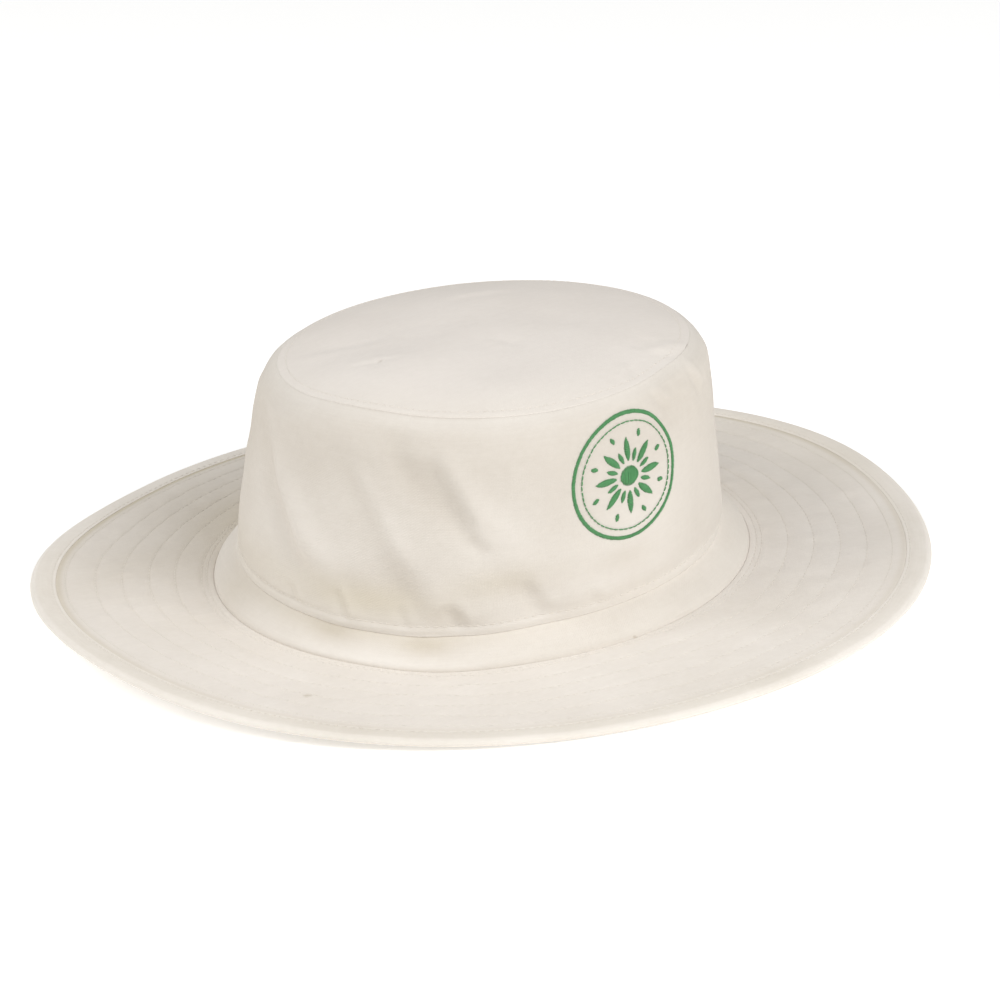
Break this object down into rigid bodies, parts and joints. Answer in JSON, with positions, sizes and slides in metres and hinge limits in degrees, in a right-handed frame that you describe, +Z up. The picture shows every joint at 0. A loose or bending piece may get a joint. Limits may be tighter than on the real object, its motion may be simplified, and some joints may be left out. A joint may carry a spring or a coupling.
{
  "type": "sun hat",
  "caption": "Wide-brimmed cream cotton sun hat with a flat-topped, softly creased crown, a flared band and a quilted brim, resting on its brim.",
  "frame": {"origin": "middle of the hat's plan, on the surface that its brim rests on", "axes": "+Z up, -Y towards the front of the hat, +X towards the wearer's left"},
  "size_m": [0.3271, 0.3458, 0.0961],
  "materials": {
    "tip_cotton": "matt cream cotton drill",
    "crown_cotton": "matt cream cotton drill",
    "band_cotton": "matt cream cotton drill",
    "brim_cotton": "matt cream cotton drill, quilted",
    "binding_cotton": "matt cream cotton tape"
  },
  "bodies": {
    "root": {"crown_top": "tip_cotton", "crown_side": "crown_cotton", "hat_band": "band_cotton", "brim": "brim_cotton", "brim_binding": "binding_cotton"}
  },
  "joints": []
}
